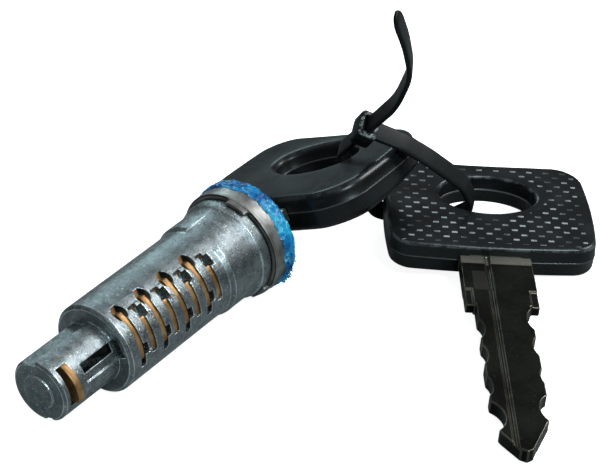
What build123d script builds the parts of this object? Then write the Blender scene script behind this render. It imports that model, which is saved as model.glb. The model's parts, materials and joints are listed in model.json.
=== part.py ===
from build123d import *
from math import cos, radians, sin
import os

# A wafer lock rotor with its key in it, and a spare key joined to that key by a cable tie.
# Millimetres. The rotor's axis lies along X, the tail points to -X and the keys lie at +X.
# The origin is on the axis, in the shoulder face between the tail and the body.

# How the rotor is turned about its axis: the wafers slide along a line that rises by this angle
wafer_rise = 22.4
# The keyway runs beside the axis
keyway_offset = -0.85

# Rotor
body_radius = 7.75
body_length = 24.6
body_chamfer = 0.55
tail_radius = 5.3
tail_length = 12.4
tail_chamfer = 0.45
tail_boss_radius = 2.85
tail_boss_height = 0.3
groove_radius = 4.6
groove_mouth = 1.8
groove_places = (-82.0, 98.0)
collar_radius = 8.2
collar_length = 5.8
collar_chamfer = 0.9
ramp_from = -75.0
ramp_turns = ((42.0, 2.9), (22.0, 5.8))
flare_length = 3.8
flare_step = 0.15
flange_radius = 9.08
neck_radius = 8.8

# Steel cap, crimped over the flange
cap_wall = 0.5
cap_clearance = 0.02
cap_length = 5.1
cap_lip_length = 0.5
cap_tab_length = 0.9
cap_tab_angle = 24.0
cap_tab_places = (-52.0, 68.0, 188.0)

# Band of film round the cap
film_thickness = 0.4
film_cover = 2.7
film_front = 0.4
film_lip = 0.9

# Wafers
wafer_count = 8
wafer_pitch = 2.72
first_wafer = 2.87
wafer_thickness = 1.0
slot_clearance = 0.05
wafer_half_width = 3.95
wafer_inset = 0.3
wafer_travel = 1.0
window_corner = 0.6
notch_room = 0.3
pocket_half_width = 5.2
pocket_floor = 2.2
ear_reach = 5.1
ear_top = 4.6
ear_height = 1.1
corner_cut_height = 2.0
corner_cut_from = 1.8
notch_length = 0.9
notch_width = 1.8
notch_depth = 3.0
notch_place = 2.55

# Springs under the wafers' ears
well_radius = 1.2
well_place = 4.0
well_floor = -1.5
spring_radius = 1.0
spring_wire = 0.28
seat_gap = 0.02

# Latch wafer in the tail, which keeps the rotor in its housing
latch_place = -9.6
latch_thickness = 1.15
latch_half_width = 3.1
latch_gap = 0.95
latch_proud = 0.55
latch_travel = 0.9
latch_bottom = 0.4
latch_ramp = 0.6
latch_spring_floor = -3.6

# Window in the tail, beside the tip of the blade
window_from = -7.2
window_to = -0.4
window_width = 1.8
shelf_width = 1.35
shelf_depth = 0.55
shelf_pocket_depth = 1.4
shelf_pocket_reach = 6.5

# Dust shutter inside the head, laid back along the key
shutter_pin_radius = 0.4
shutter_pin_place = 0.95
shutter_pin_station = 37.3
shutter_pin_seat = 0.7
shutter_barrel_radius = 0.7
shutter_clearance = 0.05
shutter_thickness = 0.4
shutter_length = 3.3
shutter_gap = 0.2
shutter_spring_length = 3.0
pocket_length = 5.0
pocket_room = 0.15

# Keys
blade_width = 9.0
blade_thickness = 2.4
blade_length = 51.6
shoulder_width = 12.2
shoulder_place = 36.8
blade_clearance = 0.2
tip_length = 6.0
tip_steps = ((-0.9, 0.5), (0.2, 0.0), (1.1, 0.6))
tip_shoulders = (3.4, 3.9)
cutter_radius = 4.4
near_cuts = ((33.2, 0.9), (26.1, 0.7), (18.6, 0.4), (10.4, 1.4))
far_cuts = ((30.2, 0.8), (23.4, 0.7), (15.3, 0.7), (7.8, 2.0))
collar_lip = 0.7
wing_width = 1.3
wing_depth = 0.35
wing_place = 41.0
groove_width = 0.7
groove_depth = 0.35
groove_place = 1.5
tang_length = 7.5
tang_width = 9.0
bow_width = 36.2
bow_near_width = 34.6
bow_far_width = 34.0
bow_height = 25.9
bow_thickness = 5.6
bow_crown = 0.9
bow_near_corner = 3.0
bow_far_corner = 4.5
bow_edge = 0.8
bow_hole_width = 17.0
bow_hole_height = 11.6
bow_hole_place = 16.1
bow_hole_edge = 0.7
tip_inset = 7.0

# Spare key: where its tip lies, the way across its bow and the way its top faces
spare_tip = (22.9, -63.8, -7.76)
spare_across = (0.5964, -0.7961, -0.1031)
spare_top = (0.0571, -0.0860, 0.9947)

# Cable tie: it lies in one plane, which passes through the holes of both bows
strap_width = 3.5
strap_thickness = 1.0
tie_origin = (61.89, -4.65, 3.03)
tie_along = (0.5170, -0.7125, -0.4745)
tie_side = (-0.8414, -0.3210, -0.4348)
loop_corners = (
    (-2.6, 11.0), (-3.0, 3.4), (2.5, -2.7), (10.1, -10.1), (20.8, -5.1), (22.9, 4.1),
    (17.9, 9.4), (9.9, 12.2), (4.4, 13.4), (-1.5, 13.2),
)
loop_bends = (2.0, 6.0, 2.2, 2.2, 5.0, 6.0, 8.0, 8.0)
tail_corners = ((-2.6, 11.0), (-2.4, 13.8), (-1.8, 23.5), (-3.8, 33.3), (-8.1, 40.0), (-12.4, 45.3))
tail_bends = (20.0, 20.0, 14.0, 20.0)
tie_head_length = 3.8
tie_head_width = 5.0
tie_head_depth = 3.5
tie_head_place = (-2.4, 12.5)
tie_head_corner = 0.6

# Directions and planes of the lock
slide = Vector(0, -cos(radians(wafer_rise)), sin(radians(wafer_rise)))
aside = Vector(1, 0, 0).cross(slide)
keyway_line = aside * keyway_offset
axis = Vector(1, 0, 0)


def across(station, offset=0.0):
    """Plane square to the axis: x along the wafers' slide, y across the keyway, z along the axis."""
    return Plane(origin=axis * station + aside * offset, x_dir=slide, z_dir=axis)


def along(level=0.0):
    """Plane through the keyway: x along the axis, y along the wafers' slide, z across the keyway."""
    return Plane(origin=keyway_line + aside * level, x_dir=axis, z_dir=aside)


def looking_in(height):
    """Plane square to the wafers' slide: x along the axis, y against the keyway's side, z outwards."""
    return Plane(origin=keyway_line + slide * height, x_dir=axis, z_dir=slide)


head_from = body_length
flare_from = head_from + collar_length
cap_from = flare_from + flare_length
flare_rise = neck_radius - collar_radius
flare_middle = flare_from + 0.45 * flare_length
flare_to = flare_from + 0.7 * flare_length
cap_to = cap_from + cap_length
flange_from = cap_from + cap_lip_length
flange_to = cap_to - cap_wall
cap_inner = flange_radius + cap_clearance
cap_outer = cap_inner + cap_wall
tip_station = -tip_inset
shoulder_station = tip_station + shoulder_place
bow_station = tip_station + blade_length
keyway_end = window_from - 0.1
slot_thickness = wafer_thickness + 2 * slot_clearance
stations = [first_wafer + i * wafer_pitch for i in range(wafer_count)]
wafer_tip = body_radius - wafer_inset
blade_face = blade_thickness / 2
keyway_thickness = blade_thickness + 2 * blade_clearance
shoulder_room = shoulder_width + 2 * blade_clearance
pin_level = blade_face + shutter_pin_place
spring_inner_side = well_place - well_radius
ear_bottom = ear_top - ear_height
bow_near = blade_length - bow_crown
wafer_notch_bottom = well_floor - wafer_travel - notch_room
window_height = blade_width + 2 * blade_clearance + wafer_travel
pocket_height = shutter_pin_place + shutter_barrel_radius + pocket_room
latch_floor = latch_bottom - latch_travel - slot_clearance
latch_slot_width = latch_thickness + latch_gap + 2 * slot_clearance
latch_plane = Plane(origin=axis * latch_place, x_dir=axis, z_dir=slide)
ramp_side = axis.cross(slide * cos(radians(ramp_from)) + aside * sin(radians(ramp_from)))
pin_plane = Plane(
    origin=axis * shutter_pin_station + keyway_line + aside * pin_level,
    x_dir=axis,
    z_dir=slide,
)


def near_level(vertex, plane, level):
    """Whether a vertex lies at this height in a key's plane, on the shoulder's outer corners."""
    place = plane.to_local_coords(vertex.center())
    return abs(place.Y - level) < 0.01 and abs(place.X) > half_shoulder - 0.01


def wedge(radius, start, end):
    """Corners of a wedge from the axis, between two angles from the wafers' slide."""
    middle = (start + end) / 2
    reach = radius / cos(radians((end - start) / 2))
    rim = [(reach, start), (reach, middle), (reach, end)]
    return [(0, 0)] + [(r * cos(radians(a)), r * sin(radians(a))) for r, a in rim]


# Rotor: a die casting, turned form first
with BuildPart() as rotor:
    with BuildSketch(Plane.XY):
        with BuildLine():
            Polyline(
                (-tail_length, 0),
                (-tail_length, tail_radius),
                (0, tail_radius),
                (0, body_radius),
                (head_from, body_radius),
                (head_from + collar_chamfer, collar_radius),
                (flare_from, collar_radius),
            )
            ThreePointArc(
                (flare_from, collar_radius),
                (flare_from + 0.25 * flare_length, collar_radius + 0.2 * flare_rise),
                (flare_middle, collar_radius + 0.6 * flare_rise),
            )
            Polyline(
                (flare_middle, collar_radius + 0.6 * flare_rise),
                (flare_middle, collar_radius + 0.6 * flare_rise + flare_step),
                (flare_to, neck_radius),
                (cap_from, neck_radius),
                (flange_from, neck_radius),
                (flange_from, flange_radius),
                (flange_to, flange_radius),
                (flange_to, 0),
                (-tail_length, 0),
            )
        make_face()
    revolve(axis=Axis.X)
    rims = rotor.edges().filter_by(GeomType.CIRCLE)
    chamfer(rims.filter_by(lambda e: abs(e.radius - body_radius) < 0.01).sort_by(Axis.X)[0], body_chamfer)
    tail_rim = rotor.edges().filter_by(GeomType.CIRCLE).sort_by(Axis.X)[0]
    chamfer(tail_rim, tail_chamfer)
    # grooves along the tail
    with BuildSketch(across(-tail_length)):
        for place in groove_places:
            with Locations(Rotation(0, 0, place) * Location((tail_radius, 0))):
                Rectangle(2 * (tail_radius - groove_radius), groove_mouth)
    extrude(amount=tail_length, mode=Mode.SUBTRACT)
    # boss on the end of the tail
    with BuildSketch(across(-tail_length - tail_boss_height)):
        Circle(tail_boss_radius)
    extrude(amount=2 * tail_boss_height)
    # ramps from the body up to the collar, the wider one shorter
    for turned, length in ramp_turns:
        with BuildSketch(Plane(origin=(0, 0, 0), x_dir=axis, z_dir=ramp_side)):
            Polygon(
                (head_from, body_radius),
                (head_from + length, collar_radius),
                (head_from + length, 2 * collar_radius),
                (head_from, 2 * collar_radius),
                align=None,
            )
        revolve(axis=Axis.X, revolution_arc=turned, mode=Mode.SUBTRACT)
    # keyway for the blade, narrow in the tail and wide at the key's shoulder
    steps = ((keyway_end, 2 * tip_shoulders[1]), (0, blade_width), (shoulder_station - blade_clearance, shoulder_width))
    for start, width in steps:
        with BuildSketch(across(start, keyway_offset)):
            Rectangle(width + 2 * blade_clearance, keyway_thickness)
        extrude(amount=cap_to - start, mode=Mode.SUBTRACT)
    # window beside the blade's tip, with a shelf along its edge
    with BuildSketch(along()):
        with Locations(((window_from + window_to) / 2, 0)):
            Rectangle(window_to - window_from, 3 * tail_radius)
    extrude(amount=window_width / 2, both=True, mode=Mode.SUBTRACT)
    with BuildSketch(looking_in(tail_radius - shelf_depth)):
        with Locations(((window_from + window_to) / 2, -(window_width + shelf_width) / 2)):
            Rectangle(window_to - window_from, shelf_width)
    extrude(amount=2 * shelf_depth, mode=Mode.SUBTRACT)
    # pocket in the shoulder behind the shelf
    with BuildSketch(looking_in(tail_radius - shelf_depth)):
        with Locations(((window_to + shelf_pocket_depth) / 2, -shelf_width / 2)):
            Rectangle(shelf_pocket_depth - window_to, window_width + shelf_width)
    extrude(amount=shelf_pocket_reach - tail_radius + shelf_depth, mode=Mode.SUBTRACT)
    # shutter's pocket, open to the front, and the holes for its pin
    with BuildSketch(across(flange_to - pocket_length, keyway_offset)):
        with Locations((0, blade_face + pocket_height / 2)):
            Rectangle(shoulder_room, pocket_height)
    extrude(amount=pocket_length, mode=Mode.SUBTRACT)
    with BuildSketch(pin_plane):
        Circle(shutter_pin_radius + cap_clearance)
    extrude(amount=shoulder_room / 2 + shutter_pin_seat, both=True, mode=Mode.SUBTRACT)
    # slots, pockets and spring wells of the wafers, every second one turned round
    for number, station in enumerate(stations):
        turn = 1 if number % 2 == 0 else -1
        face = Plane(
            origin=axis * station + keyway_line,
            x_dir=axis,
            z_dir=slide * turn,
        )
        with BuildSketch(face):
            Rectangle(slot_thickness, 2 * (wafer_half_width + slot_clearance))
        extrude(amount=1.2 * body_radius, both=True, mode=Mode.SUBTRACT)
        with BuildSketch(face.offset(pocket_floor)):
            Rectangle(slot_thickness, 2 * pocket_half_width)
        extrude(amount=body_radius, mode=Mode.SUBTRACT)
        with BuildSketch(face.offset(well_floor)):
            with Locations((0, well_place)):
                Circle(well_radius)
        extrude(amount=2 * body_radius, mode=Mode.SUBTRACT)
        # a notch at each end of the slot, on the wafer's plain side
        for end in (1, -1):
            outward = face.z_dir * end
            notch_floor = Plane(
                origin=face.origin + outward * (body_radius - notch_depth),
                x_dir=axis,
                z_dir=outward,
            )
            with BuildSketch(notch_floor):
                with Locations(((slot_thickness + notch_length) / 2, -notch_place * end)):
                    Rectangle(notch_length, notch_width)
            extrude(amount=2 * notch_depth, mode=Mode.SUBTRACT)
    # slot and spring well of the latch wafer
    with BuildSketch(latch_plane.offset(latch_floor)):
        with Locations((-latch_gap / 2, 0)):
            Rectangle(latch_slot_width, 2 * (latch_half_width + slot_clearance))
    extrude(amount=2 * tail_radius, mode=Mode.SUBTRACT)
    with BuildSketch(latch_plane.offset(latch_spring_floor)):
        Circle(well_radius)
    extrude(amount=tail_radius, mode=Mode.SUBTRACT)
rotor.part.label = "rotor"
os.makedirs("parts", exist_ok=True)
export_step(rotor.part, "parts/rotor.step")

# Cap of sheet steel, with tabs bent in behind the flange
with BuildPart() as cap:
    with BuildSketch(Plane.XY):
        with BuildLine():
            Polyline(
                (cap_from, neck_radius + cap_clearance),
                (cap_from, cap_outer - cap_wall / 2),
                (cap_from + cap_wall / 2, cap_outer),
                (cap_to - cap_wall, cap_outer),
                (cap_to, cap_outer - cap_wall),
                (cap_to, 0),
                (flange_to, 0),
                (flange_to, cap_inner),
                (flange_from - cap_clearance, cap_inner),
                (flange_from - cap_clearance, neck_radius + cap_clearance),
                (cap_from, neck_radius + cap_clearance),
            )
        make_face()
    revolve(axis=Axis.X)
    with BuildSketch(across(cap_from - cap_tab_length)):
        for place in cap_tab_places:
            tab = wedge(2 * cap_outer, place - cap_tab_angle / 2, place + cap_tab_angle / 2)
            Polygon(*tab, align=None)
        Circle(cap_outer - cap_wall / 2, mode=Mode.INTERSECT)
        Circle(neck_radius + cap_clearance, mode=Mode.SUBTRACT)
    extrude(amount=cap_tab_length)
    with BuildSketch(across(flange_to - cap_wall, keyway_offset)):
        Rectangle(shoulder_room, keyway_thickness)
    extrude(amount=3 * cap_wall, mode=Mode.SUBTRACT)
cap.part.label = "cap"
export_step(cap.part, "parts/cap.step")

# Band of coloured film stuck round the cap and over its front edge
with BuildPart() as film_band:
    with BuildSketch(Plane.XY):
        with BuildLine():
            Polyline(
                (cap_to - film_cover, cap_outer),
                (cap_to - film_cover, cap_outer + film_thickness),
                (cap_to + film_front, cap_outer + film_thickness),
                (cap_to + film_front, cap_outer - film_lip),
                (cap_to, cap_outer - film_lip),
                (cap_to, cap_outer - cap_wall),
                (cap_to - cap_wall, cap_outer),
                (cap_to - film_cover, cap_outer),
            )
        make_face()
    revolve(axis=Axis.X)
film_band.part.label = "film_band"
export_step(film_band.part, "parts/film_band.step")

# Wafers: brass plates with a window for the blade, a side notch and an ear over the spring
for number, station in enumerate(stations):
    turn = 1 if number % 2 == 0 else -1
    plate_plane = Plane(
        origin=axis * (station - wafer_thickness / 2) + keyway_line,
        x_dir=slide * turn,
        z_dir=axis,
    )
    with BuildPart() as wafer:
        with BuildSketch(plate_plane):
            Rectangle(2 * wafer_tip, 2 * wafer_half_width)
            with Locations((0, -keyway_offset * turn)):
                Circle(wafer_tip, mode=Mode.INTERSECT)
            with Locations((ear_top - ear_height / 2, -(ear_reach + spring_inner_side) / 2)):
                Rectangle(ear_height, ear_reach - spring_inner_side)
            with Locations(((wafer_notch_bottom + ear_bottom) / 2, -(wafer_half_width + spring_inner_side) / 2)):
                Rectangle(
                    ear_bottom - wafer_notch_bottom,
                    wafer_half_width - spring_inner_side,
                    mode=Mode.SUBTRACT,
                )
            with Locations((-wafer_tip + corner_cut_height / 2, (wafer_half_width + corner_cut_from) / 2)):
                Rectangle(corner_cut_height, wafer_half_width - corner_cut_from, mode=Mode.SUBTRACT)
            with Locations((-wafer_travel / 2, 0)):
                RectangleRounded(window_height, keyway_thickness, window_corner, mode=Mode.SUBTRACT)
        extrude(amount=wafer_thickness)
    name = f"wafer_{number + 1}"
    wafer.part.label = name
    export_step(wafer.part, f"parts/{name}.step")

    # its spring, as the closed outer shape of the coil
    coil_plane = Plane(
        origin=axis * station + keyway_line + slide * turn * well_floor,
        x_dir=axis,
        z_dir=slide * turn,
    )
    with BuildPart() as wafer_spring:
        with BuildSketch(coil_plane):
            with Locations((0, well_place)):
                Circle(spring_radius)
                Circle(spring_radius - spring_wire, mode=Mode.SUBTRACT)
        extrude(amount=ear_bottom - well_floor)
    name = f"wafer_spring_{number + 1}"
    wafer_spring.part.label = name
    export_step(wafer_spring.part, f"parts/{name}.step")

# Latch wafer in the tail: its outer end is a ramp, and its spring pushes it out
with BuildPart() as latch_wafer:
    with BuildSketch(across(latch_place - latch_thickness / 2)):
        with Locations(((latch_bottom + 2 * tail_radius) / 2, 0)):
            Rectangle(2 * tail_radius - latch_bottom, 2 * latch_half_width)
        with Locations((latch_proud, latch_ramp)):
            Circle(tail_radius, mode=Mode.INTERSECT)
    extrude(amount=latch_thickness)
latch_wafer.part.label = "latch_wafer"
export_step(latch_wafer.part, "parts/latch_wafer.step")

with BuildPart() as latch_spring:
    with BuildSketch(latch_plane.offset(latch_spring_floor)):
        Circle(spring_radius)
        Circle(spring_radius - spring_wire, mode=Mode.SUBTRACT)
    extrude(amount=latch_bottom - latch_spring_floor)
latch_spring.part.label = "latch_spring"
export_step(latch_spring.part, "parts/latch_spring.step")

# Dust shutter: a flap rolled round its pin at both ends, with its spring between them
with BuildPart() as shutter_pin:
    with BuildSketch(pin_plane):
        Circle(shutter_pin_radius)
    extrude(amount=shoulder_room / 2 + shutter_pin_seat, both=True)
shutter_pin.part.label = "shutter_pin"
export_step(shutter_pin.part, "parts/shutter_pin.step")

flap_level = shutter_barrel_radius - shutter_thickness / 2
with BuildPart() as shutter:
    with BuildSketch(pin_plane):
        Circle(shutter_barrel_radius)
        with Locations((-shutter_length / 2, flap_level)):
            Rectangle(shutter_length, shutter_thickness)
        Circle(shutter_pin_radius + shutter_clearance, mode=Mode.SUBTRACT)
    extrude(amount=shoulder_width / 2 - shutter_gap, both=True)
    with BuildSketch(pin_plane):
        Circle(shutter_barrel_radius + shutter_thickness)
    extrude(amount=shutter_spring_length / 2 + shutter_gap, both=True, mode=Mode.SUBTRACT)
shutter.part.label = "shutter"
export_step(shutter.part, "parts/shutter.step")

with BuildPart() as shutter_spring:
    with BuildSketch(pin_plane):
        Circle(shutter_barrel_radius)
        Circle(shutter_pin_radius + shutter_clearance, mode=Mode.SUBTRACT)
    extrude(amount=shutter_spring_length / 2, both=True)
shutter_spring.part.label = "shutter_spring"
export_step(shutter_spring.part, "parts/shutter_spring.step")

# Two keys of one kind: a steel blade with cuts on both edges, and a bow moulded over its tang
key_planes = {
    "key": Plane(origin=axis * tip_station + keyway_line, x_dir=slide, z_dir=-aside),
    "spare_key": Plane(origin=spare_tip, x_dir=spare_across, z_dir=spare_top),
}
half_blade = blade_width / 2
half_shoulder = shoulder_width / 2
cutters = [(half_blade + cutter_radius - depth, place) for place, depth in near_cuts]
cutters += [(-half_blade - cutter_radius + depth, place) for place, depth in far_cuts]
for name, key_plane in key_planes.items():
    with BuildPart() as blade:
        with BuildSketch(key_plane.offset(-blade_face)):
            Polygon(
                (-half_blade, tip_length),
                (-tip_shoulders[0], tip_shoulders[1]),
                *tip_steps,
                (tip_shoulders[1], tip_inset),
                (half_blade, tip_inset + 1),
                (half_blade, shoulder_place),
                (-half_blade, shoulder_place),
                align=None,
            )
            with Locations(cutters):
                Circle(cutter_radius, mode=Mode.SUBTRACT)
            with Locations((0, (shoulder_place + bow_near) / 2)):
                Rectangle(shoulder_width, bow_near - shoulder_place)
            fillet(vertices().filter_by(lambda v: near_level(v, key_plane, shoulder_place)), collar_lip)
            with Locations((0, (bow_near + blade_length + tang_length) / 2)):
                Rectangle(tang_width, blade_length + tang_length - bow_near)
        extrude(amount=blade_thickness)
        # a narrow groove along both faces, and thinner wings at the shoulder's corners
        for side in (1, -1):
            face_plane = Plane(
                origin=key_plane.origin + key_plane.z_dir * side * blade_face,
                x_dir=key_plane.x_dir * side,
                z_dir=key_plane.z_dir * side,
            )
            with BuildSketch(face_plane.offset(-groove_depth)):
                with Locations((-groove_place, (bow_near - tip_length) / 2)):
                    Rectangle(groove_width, bow_near + tip_length)
            extrude(amount=groove_depth, mode=Mode.SUBTRACT)
            with BuildSketch(face_plane.offset(-wing_depth)):
                with Locations((-half_shoulder, shoulder_place), (half_shoulder, shoulder_place)):
                    Rectangle(2 * wing_width, 2 * (wing_place - shoulder_place))
            extrude(amount=wing_depth, mode=Mode.SUBTRACT)
    blade.part.label = f"{name}_blade"
    export_step(blade.part, f"parts/{name}_blade.step")

    with BuildPart() as bow:
        with BuildSketch(key_plane.offset(-bow_thickness / 2)):
            with BuildLine():
                near = (bow_near_width / 2, blade_length)
                far = (bow_far_width / 2, blade_length + bow_height)
                middle = blade_length + bow_height / 2
                ThreePointArc((-near[0], near[1]), (0, blade_length - bow_crown), near)
                ThreePointArc(near, (bow_width / 2, middle), far)
                Line(far, (-far[0], far[1]))
                ThreePointArc((-far[0], far[1]), (-bow_width / 2, middle), (-near[0], near[1]))
            make_face()
            outline_corners = vertices().sort_by(Axis(key_plane.origin, key_plane.y_dir))
            fillet(outline_corners[:2], bow_near_corner)
            fillet(vertices().sort_by(Axis(key_plane.origin, key_plane.y_dir))[-2:], bow_far_corner)
            with Locations((0, blade_length + bow_hole_place)):
                Ellipse(bow_hole_width / 2, bow_hole_height / 2, mode=Mode.SUBTRACT)
        extrude(amount=bow_thickness)
        faces_out = [bow.faces().sort_by(Axis(key_plane.origin, key_plane.z_dir))[end] for end in (0, -1)]
        for flat in faces_out:
            fillet(flat.outer_wire().edges(), bow_edge)
        faces_out = [bow.faces().sort_by(Axis(key_plane.origin, key_plane.z_dir))[end] for end in (0, -1)]
        for flat in faces_out:
            fillet(flat.inner_wires()[0].edges(), bow_hole_edge)
        # seat of the tang
        with BuildSketch(key_plane.offset(-blade_face)):
            with Locations((0, (bow_near + blade_length + tang_length) / 2)):
                Rectangle(tang_width, blade_length + tang_length - bow_near)
        extrude(amount=blade_thickness, mode=Mode.SUBTRACT)
    bow.part.label = f"{name}_bow"
    export_step(bow.part, f"parts/{name}_bow.step")

# Cable tie through both bows: the loop, the head and the long tail
tie_plane = Plane(origin=tie_origin, x_dir=tie_along, z_dir=tie_side)
with BuildPart() as cable_tie:
    with BuildSketch(tie_plane):
        with BuildLine():
            FilletPolyline(*loop_corners, radius=loop_bends)
        trace(line_width=strap_thickness)
        with BuildLine():
            FilletPolyline(*tail_corners, radius=tail_bends)
        trace(line_width=strap_thickness)
    extrude(amount=strap_width / 2, both=True)
    with BuildSketch(tie_plane):
        with Locations(tie_head_place):
            RectangleRounded(tie_head_depth, tie_head_length, tie_head_corner)
    extrude(amount=tie_head_width / 2, both=True)
cable_tie.part.label = "cable_tie"
export_step(cable_tie.part, "parts/cable_tie.step")
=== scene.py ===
import json
import math

import bmesh
import bpy
import numpy as np
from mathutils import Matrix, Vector


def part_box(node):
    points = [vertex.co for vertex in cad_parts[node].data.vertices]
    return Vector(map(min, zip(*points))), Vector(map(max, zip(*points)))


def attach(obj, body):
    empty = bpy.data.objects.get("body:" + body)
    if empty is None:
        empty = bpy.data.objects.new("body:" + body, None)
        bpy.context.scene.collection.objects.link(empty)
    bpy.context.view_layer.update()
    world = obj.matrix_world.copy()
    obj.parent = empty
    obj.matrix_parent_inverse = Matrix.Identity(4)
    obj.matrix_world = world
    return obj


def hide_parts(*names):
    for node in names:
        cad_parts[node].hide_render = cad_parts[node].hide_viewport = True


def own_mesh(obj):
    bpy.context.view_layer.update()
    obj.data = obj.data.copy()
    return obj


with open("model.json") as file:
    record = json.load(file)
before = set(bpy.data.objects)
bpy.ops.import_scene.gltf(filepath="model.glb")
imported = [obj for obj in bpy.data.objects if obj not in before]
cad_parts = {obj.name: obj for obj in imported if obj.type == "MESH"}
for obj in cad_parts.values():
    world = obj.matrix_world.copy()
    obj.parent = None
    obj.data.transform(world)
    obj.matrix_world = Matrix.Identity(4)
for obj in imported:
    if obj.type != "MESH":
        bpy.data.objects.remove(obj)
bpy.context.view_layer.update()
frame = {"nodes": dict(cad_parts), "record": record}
scene = bpy.context.scene
# Lengths in the settings are millimetres and angles degrees; the sizes of patterns are given times mm
mm = 0.001

bodyOf = {
    node: body
    for body, nodes in frame["record"]["behaviour"]["bodies"].items()
    for node in nodes
}

# Directions of the lock: the rotor's axis is X, and the wafers slide along a line that rises
waferRise = math.radians(22.4)
axis = Vector((1, 0, 0))
slide = Vector((0, -math.cos(waferRise), math.sin(waferRise)))
aside = axis.cross(slide)
keywayOffset = -0.85 * mm

# Where the two keys lie: the middle of the blade's tip, across the bow and the way the top faces
keyPlaces = {
    "key": {"tip": axis * -7.0 * mm + aside * keywayOffset, "across": slide, "top": -aside},
    "spare_key": {
        "tip": Vector((22.9, -63.8, -7.76)) * mm,
        "across": Vector((0.5964, -0.7961, -0.1031)).normalized(),
        "top": Vector((0.0571, -0.0860, 0.9947)).normalized(),
    },
}


# Shader sums: a value wraps a socket, and the usual signs add Math nodes
class Value:
    def __init__(self, tree, socket):
        self.tree = tree
        self.socket = socket

    def node(self, kind, output=0, inputs=None, **options):
        made = self.tree.nodes.new(kind)
        for name, option in options.items():
            setattr(made, name, option)
        for name, value in (inputs or {}).items():
            put(self.tree, value, made.inputs[name])
        return Value(self.tree, made.outputs[output])

    def math(self, operation, *others):
        return self.node(
            "ShaderNodeMath",
            inputs={place: value for place, value in enumerate((self,) + others)},
            operation=operation,
        )

    def __add__(self, other):
        return self.math("ADD", other)

    def __sub__(self, other):
        return self.math("SUBTRACT", other)

    def __rsub__(self, other):
        return self * -1.0 + other

    def __mul__(self, other):
        return self.math("MULTIPLY", other)

    def __truediv__(self, other):
        return self.math("DIVIDE", other)

    __radd__ = __add__
    __rmul__ = __mul__

    # 0 below low, 1 above high, smooth between them
    def step(self, low, high):
        return self.node(
            "ShaderNodeMapRange",
            inputs={"Value": self, "From Min": low, "From Max": high},
            interpolation_type="SMOOTHSTEP",
        )

    # 1 within half of the centre, 0 further out than half and soft together
    def band(self, centre, half, soft):
        return 1 - (self - centre).math("ABSOLUTE").step(half, half + soft)

    # 1 from low to high, 0 further out than soft
    def between(self, low, high, soft):
        return self.band((low + high) / 2, (high - low) / 2, soft)

    # how far a place is along a direction, in millimetres from the origin given
    def along(self, direction, origin=(0, 0, 0)):
        scaled = Vector(direction) / mm
        found = self.node(
            "ShaderNodeVectorMath", output=1, inputs={0: self, 1: scaled}, operation="DOT_PRODUCT"
        )
        return found - float(scaled.dot(Vector(origin)))

    # colour that goes from first to second as the value goes from 0 to 1
    def colours(self, first, second):
        return self.node(
            "ShaderNodeMix", output=2, inputs={0: self, 6: first, 7: second}, data_type="RGBA"
        )


def put(tree, value, socket):
    if isinstance(value, Value):
        tree.links.new(value.socket, socket)
    elif isinstance(value, (tuple, list)) and socket.type == "RGBA":
        socket.default_value = tuple(value) + (1.0,)
    else:
        socket.default_value = value


def newMaterial(name):
    material = bpy.data.materials.new(name)
    material.use_nodes = True
    tree = material.node_tree
    for node in list(tree.nodes):
        if node.type != "OUTPUT_MATERIAL":
            tree.nodes.remove(node)
    shader = tree.nodes.new("ShaderNodeBsdfPrincipled")
    output = tree.nodes["Material Output"]
    tree.links.new(shader.outputs[0], output.inputs[0])
    place = tree.nodes.new("ShaderNodeTexCoord")
    return material, tree, shader, Value(tree, place.outputs["Object"])


def noise(place, size, detail=2.0, roughness=0.5, stretch=None):
    if stretch:
        place = place.node("ShaderNodeMapping", inputs={"Vector": place, "Scale": stretch})
    return place.node(
        "ShaderNodeTexNoise",
        inputs={"Vector": place, "Scale": 1.0 / size, "Detail": detail, "Roughness": roughness},
    )


def bump(height, strength, distance):
    return height.node(
        "ShaderNodeBump", inputs={"Height": height, "Strength": strength, "Distance": distance}
    )


# Values or links for the sockets of a material's shader
def setShader(tree, shader, values):
    for name, value in values.items():
        put(tree, value, shader.inputs[name])


# Cast metal: a satin skin with fine grains, soft stains and a few small dots painted pale as glints
def castMetal(name, settings, marks=None):
    material, tree, shader, place = newMaterial(name)
    grain = noise(place, settings["grain"], 2.0, 0.6)
    cloud = noise(place, settings["cloud"], 3.0, 0.55)
    glints = noise(place, settings["speck"], 1.0, 0.5).step(*settings["speckStep"])
    tone = cloud.step(*settings["cloudStep"]).colours(settings["dark"], settings["light"])
    tone = (grain.step(*settings["grainStep"]) * settings["grainShare"]).colours(tone, settings["dark"])
    # small dots painted pale as glints
    tone = (glints * settings["speckShare"]).colours(tone, settings["glintColour"])
    if marks:
        tone = marks(place, tone)
    uneven = (cloud - 0.5) * settings["cloudRough"] + (grain - 0.5) * settings["grainRough"]
    setShader(tree, shader, {
        "Base Color": tone,
        "Metallic": settings["metallic"],
        "Roughness": uneven + settings["roughness"],
        "Normal": bump(grain + cloud * 0.6, settings["bump"], settings["grain"] * 0.5),
    })
    return material


# Where the cap's rear edge runs: straight round, and set back over three tabs a third of a turn apart. Its
# dark colours are painted shade in the gap at the seam.
seam = {
    "capFrom": 34.2, "rotorFrom": 32.0, "tabLength": 0.9, "tabHalfAngle": 12.0, "tabMiddle": 68.0,
    "tabSoft": 3.0, "gapShade": (0.015, 0.015, 0.015), "line": (0.02, 0.018, 0.016),
}


# How far a place is past the seam towards the keyhole, in millimetres
def pastSeam(place):
    turned = place.along(aside).math("ARCTAN2", place.along(slide)) * (180 / math.pi)
    fromTab = ((turned - seam["tabMiddle"] + 60).math("FLOORED_MODULO", 120.0) - 60).math("ABSOLUTE")
    onTab = 1 - fromTab.step(seam["tabHalfAngle"] - seam["tabSoft"], seam["tabHalfAngle"] + seam["tabSoft"])
    return place.along(axis) - seam["capFrom"] + onTab * seam["tabLength"]
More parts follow.
